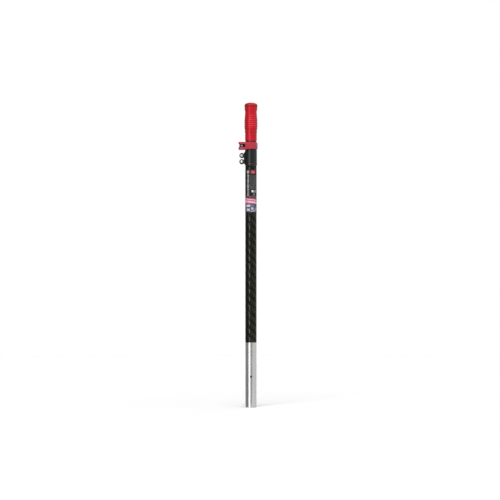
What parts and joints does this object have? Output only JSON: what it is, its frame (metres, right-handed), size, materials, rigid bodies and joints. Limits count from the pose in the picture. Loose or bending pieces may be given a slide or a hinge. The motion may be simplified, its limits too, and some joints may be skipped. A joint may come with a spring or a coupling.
{
  "type": "telescopic drywall tool pole",
  "caption": "Telescopic pole for drywall tools: aluminium tubes, red ribbed grip, flip-lock clamp with cam lever, printed carbon-look sleeve and a bare tool end.",
  "frame": {"origin": "on the tubes' axis, in the plane of the outer tube's tool end", "axes": "+Z along the pole from the tool end to the grip; -X towards the clamp's ears and the lever's pivot; -Y is the front, where the closed lever crosses the clamp"},
  "size_m": [0.054, 0.0454, 0.8705],
  "materials": {
    "aluminium": "drawn tube, satin",
    "printed_sleeve": "black sleeve printed with a carbon-fibre look, semi-gloss",
    "label_film": "printed label film",
    "black_nylon": "glass-filled nylon, fine grain",
    "black_acetal": "smooth acetal",
    "white_acetal": "smooth acetal",
    "red_plastic": "moulded, semi-gloss",
    "red_rubber": "moulded elastomer, ribbed, satin",
    "red_cap": "moulded, satin",
    "steel": "bright zinc plate"
  },
  "bodies": {
    "outer_pole": {"outer_tube": "aluminium", "carbon_sleeve": "printed_sleeve", "band_label": "label_film", "spec_label": "label_film", "guide_bush": "black_acetal", "clamp_collar": "black_nylon", "friction_liner": "black_acetal", "pinch_screw_upper": "steel", "pinch_screw_lower": "steel", "pinch_nut_upper": "steel", "pinch_nut_lower": "steel", "bolt_washer": "steel", "clamp_bolt": "steel", "lever_barrel": "steel", "cam_saddle": "black_acetal"},
    "lever": {"clamp_lever": "red_plastic"},
    "glide": {"glide_bush": "white_acetal"},
    "inner_pole": {"inner_tube": "aluminium", "snap_ring_lower": "steel", "snap_ring_upper": "steel", "grip": "red_rubber", "end_cap": "red_cap"}
  },
  "joints": [
    {"name": "lever_flip", "type": "hinge", "parent": "outer_pole", "child": "lever", "pos_m": [-0.0259, -0.0184, 0.7465], "axis": [0, 0, -1], "range_deg": [0, 150]},
    {"name": "pole_slide", "type": "slide", "parent": "outer_pole", "child": "glide", "axis": [0, 0, 1], "range_m": [0, 0.5588]},
    {"name": "pole_swivel", "type": "hinge", "parent": "glide", "child": "inner_pole", "pos_m": [0, 0, 0.118], "axis": [0, 0, 1], "continuous": true}
  ]
}
